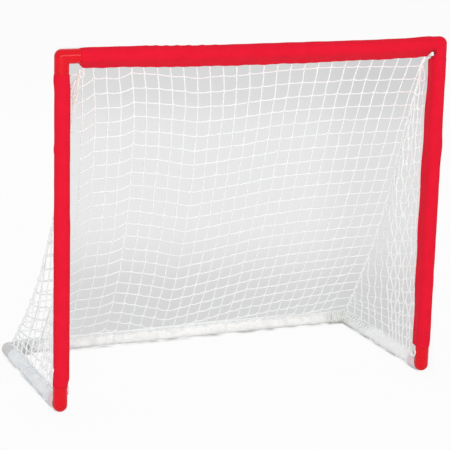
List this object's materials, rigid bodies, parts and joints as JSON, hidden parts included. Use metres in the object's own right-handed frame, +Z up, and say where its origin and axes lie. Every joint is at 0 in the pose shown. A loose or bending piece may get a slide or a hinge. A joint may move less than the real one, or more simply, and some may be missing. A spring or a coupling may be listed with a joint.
{
  "type": "street hockey goal",
  "caption": "Free-standing street hockey goal: pipes in moulded elbows, red cloth sleeves on posts and crossbar, white sleeves on the base and a slack white net.",
  "frame": {"origin": "centre of the footprint on the floor", "axes": "+X to the right along the crossbar seen from the front, +Y from the mouth to the back of the net, +Z up; the mouth faces -Y"},
  "size_m": [1.1745, 0.563, 1.0066],
  "materials": {
    "pipe": "smooth white extruded pipe, satin",
    "coupler": "moulded off-white plug, satin",
    "red_elbow": "glossy red moulded plastic",
    "rear_elbow": "off-white moulded plastic, satin",
    "red_sleeve": "tight red woven cloth, slight creases",
    "base_sleeve": "thin white cloth, wrinkled",
    "net": "white twisted twine, knotted",
    "cord": "white braided cord",
    "tie_tail": "cream braided cord end"
  },
  "bodies": {
    "root": {"left_post_upper_tube": "pipe", "left_post_lower_tube": "pipe", "right_post_upper_tube": "pipe", "right_post_lower_tube": "pipe", "crossbar_left_tube": "pipe", "crossbar_right_tube": "pipe", "left_base_tube": "pipe", "right_base_tube": "pipe", "rear_base_left_tube": "pipe", "rear_base_right_tube": "pipe", "left_post_coupler": "coupler", "right_post_coupler": "coupler", "crossbar_coupler": "coupler", "rear_base_coupler": "coupler", "top_left_elbow": "red_elbow", "top_right_elbow": "red_elbow", "front_left_elbow": "red_elbow", "front_right_elbow": "red_elbow", "rear_left_elbow": "rear_elbow", "rear_right_elbow": "rear_elbow", "crossbar_sleeve": "red_sleeve", "left_post_sleeve": "red_sleeve", "right_post_sleeve": "red_sleeve", "left_base_sleeve": "base_sleeve", "right_base_sleeve": "base_sleeve", "rear_base_sleeve": "base_sleeve", "back_net": "net", "left_side_net": "net", "right_side_net": "net", "left_seam_cord": "cord", "right_seam_cord": "cord", "top_left_tie": "cord", "top_left_tie_tail": "tie_tail", "top_right_tie": "cord", "front_left_tie": "cord", "front_right_tie": "cord"}
  },
  "joints": []
}
